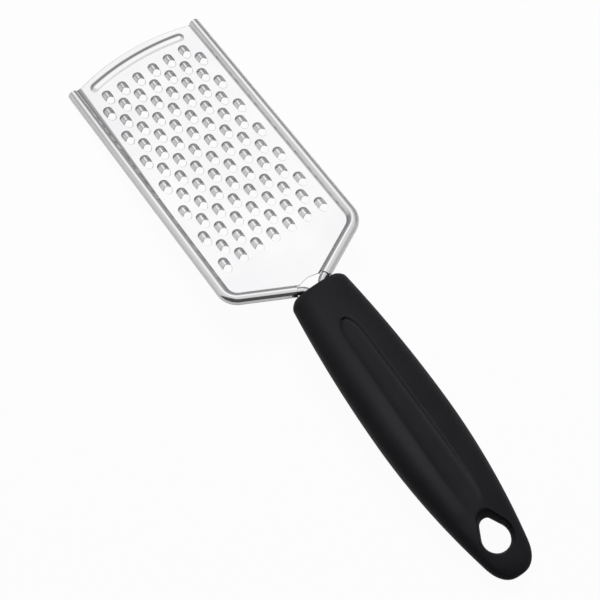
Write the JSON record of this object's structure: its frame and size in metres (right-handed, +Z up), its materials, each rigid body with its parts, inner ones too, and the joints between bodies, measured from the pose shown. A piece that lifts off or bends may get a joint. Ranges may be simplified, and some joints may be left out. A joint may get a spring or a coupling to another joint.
{
  "type": "hand grater",
  "caption": "Flat hand-held grater: a punched steel plate hemmed round bent side wires, on a swelling dark handle with a teardrop hanging hole",
  "frame": {"origin": "the middle of the footprint, on the surface the grater lies on", "axes": "X across the plate, Y along the grater towards the plate's tip, Z up out of the toothed side"},
  "size_m": [0.06, 0.2522, 0.0237],
  "materials": {
    "plate_steel": "bright rolled sheet",
    "wire_steel": "bright drawn wire",
    "core_plastic": "moulded",
    "grip_rubber": "satin moulded"
  },
  "bodies": {
    "root": {"grater_plate": "plate_steel", "frame_wire_right": "wire_steel", "frame_wire_left": "wire_steel", "handle_core": "core_plastic", "handle_grip": "grip_rubber"}
  },
  "joints": []
}
